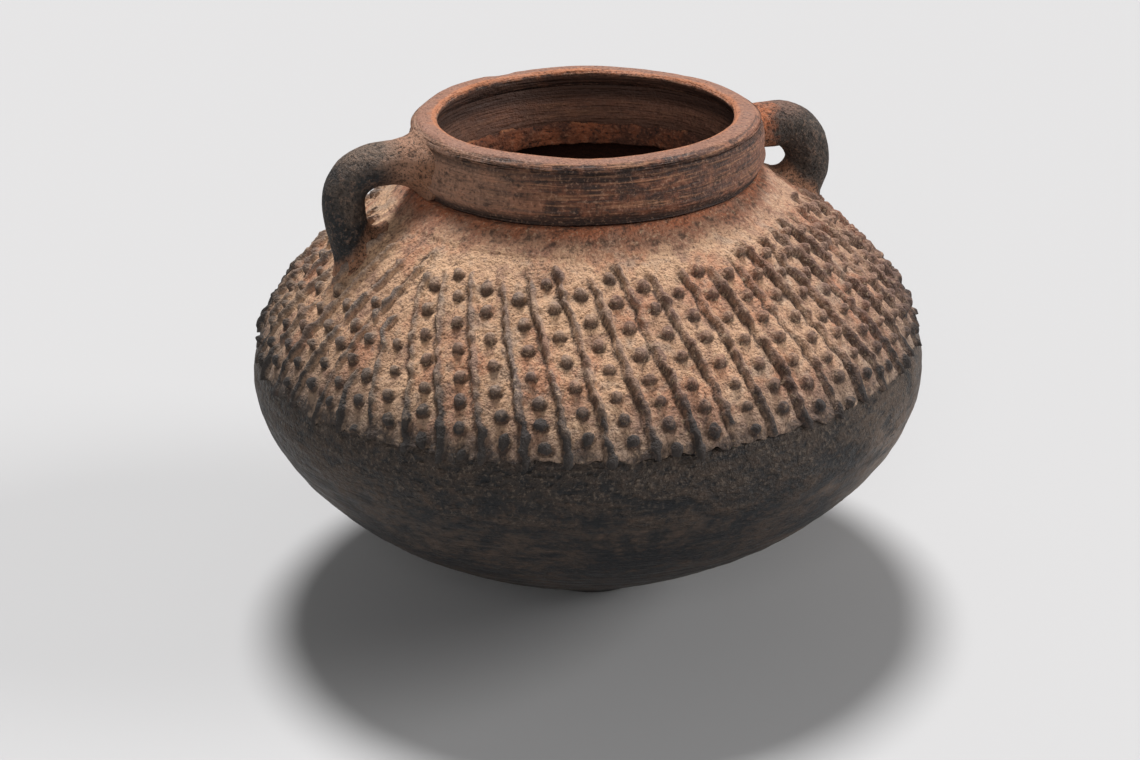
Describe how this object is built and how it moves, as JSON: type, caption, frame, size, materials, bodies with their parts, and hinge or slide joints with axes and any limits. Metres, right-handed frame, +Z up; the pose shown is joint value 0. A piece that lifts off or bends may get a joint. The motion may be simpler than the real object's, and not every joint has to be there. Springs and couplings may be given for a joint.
{
  "type": "ceramic pot",
  "caption": "Round-bellied hand-built clay pot with a short neck, thick lip, loop handles, and a shoulder coat of ribs and nubs.",
  "frame": {"origin": "centre of the worn flat that the pot stands on, on the pot's own axis", "axes": "+Z up along the pot's axis, X through the two handles, so the finger gaps open along Y"},
  "size_m": [0.216, 0.216, 0.1606],
  "materials": {
    "sooty_clay": "burnished, sooty black",
    "tan_clay": "rough, dusty tan",
    "red_brown_clay": "wiped, matt red brown",
    "lip_clay": "worn, matt pinkish brown",
    "inner_clay": "rough, dark red brown",
    "handle_clay": "smoked, dark grey"
  },
  "bodies": {
    "root": {"base_bowl": "sooty_clay", "shoulder": "tan_clay", "girth_lute": "inner_clay", "relief_coat": "tan_clay", "neck_collar": "red_brown_clay", "neck_lute": "inner_clay", "rim_lip": "lip_clay", "handle_left": "handle_clay", "handle_left_root": "red_brown_clay", "handle_left_foot": "tan_clay", "handle_right": "handle_clay", "handle_right_root": "red_brown_clay", "handle_right_foot": "tan_clay"}
  },
  "joints": []
}
